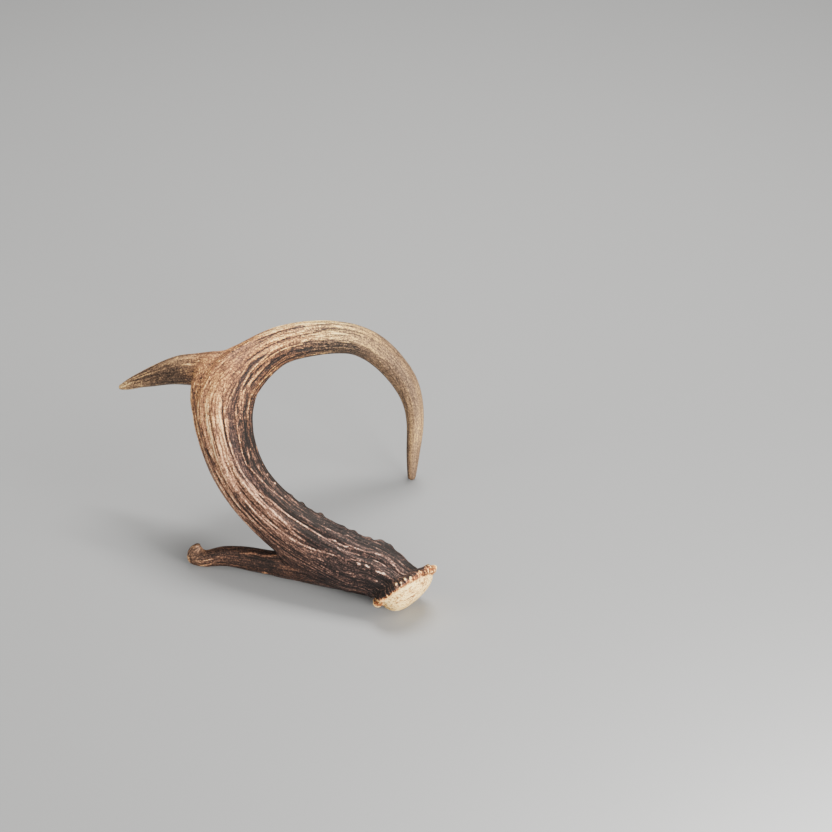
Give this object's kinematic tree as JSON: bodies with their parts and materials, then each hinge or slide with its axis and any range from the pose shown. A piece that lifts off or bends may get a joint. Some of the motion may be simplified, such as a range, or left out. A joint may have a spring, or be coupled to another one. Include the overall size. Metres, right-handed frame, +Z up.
{
  "type": "deer antler",
  "caption": "Shed deer antler with a beaded burr, a grooved beam, a brow tine, a back tine and a hooked upper tine, lying on a surface.",
  "frame": {"origin": "middle of the antler's box, on the surface that it rests on", "axes": "+Z up, +X along the longest extent, from the back tine's point towards the hook, +Y from the burr's side to the hook's side"},
  "size_m": [0.2818, 0.2693, 0.1685],
  "materials": {
    "antler": "matt weathered bone, dark brown at the base to tan at the hook, with pale ridges and an off-white seal"
  },
  "bodies": {
    "root": {"main_beam": "antler", "brow_tine": "antler", "hook_tine": "antler", "back_tine": "antler"}
  },
  "joints": []
}
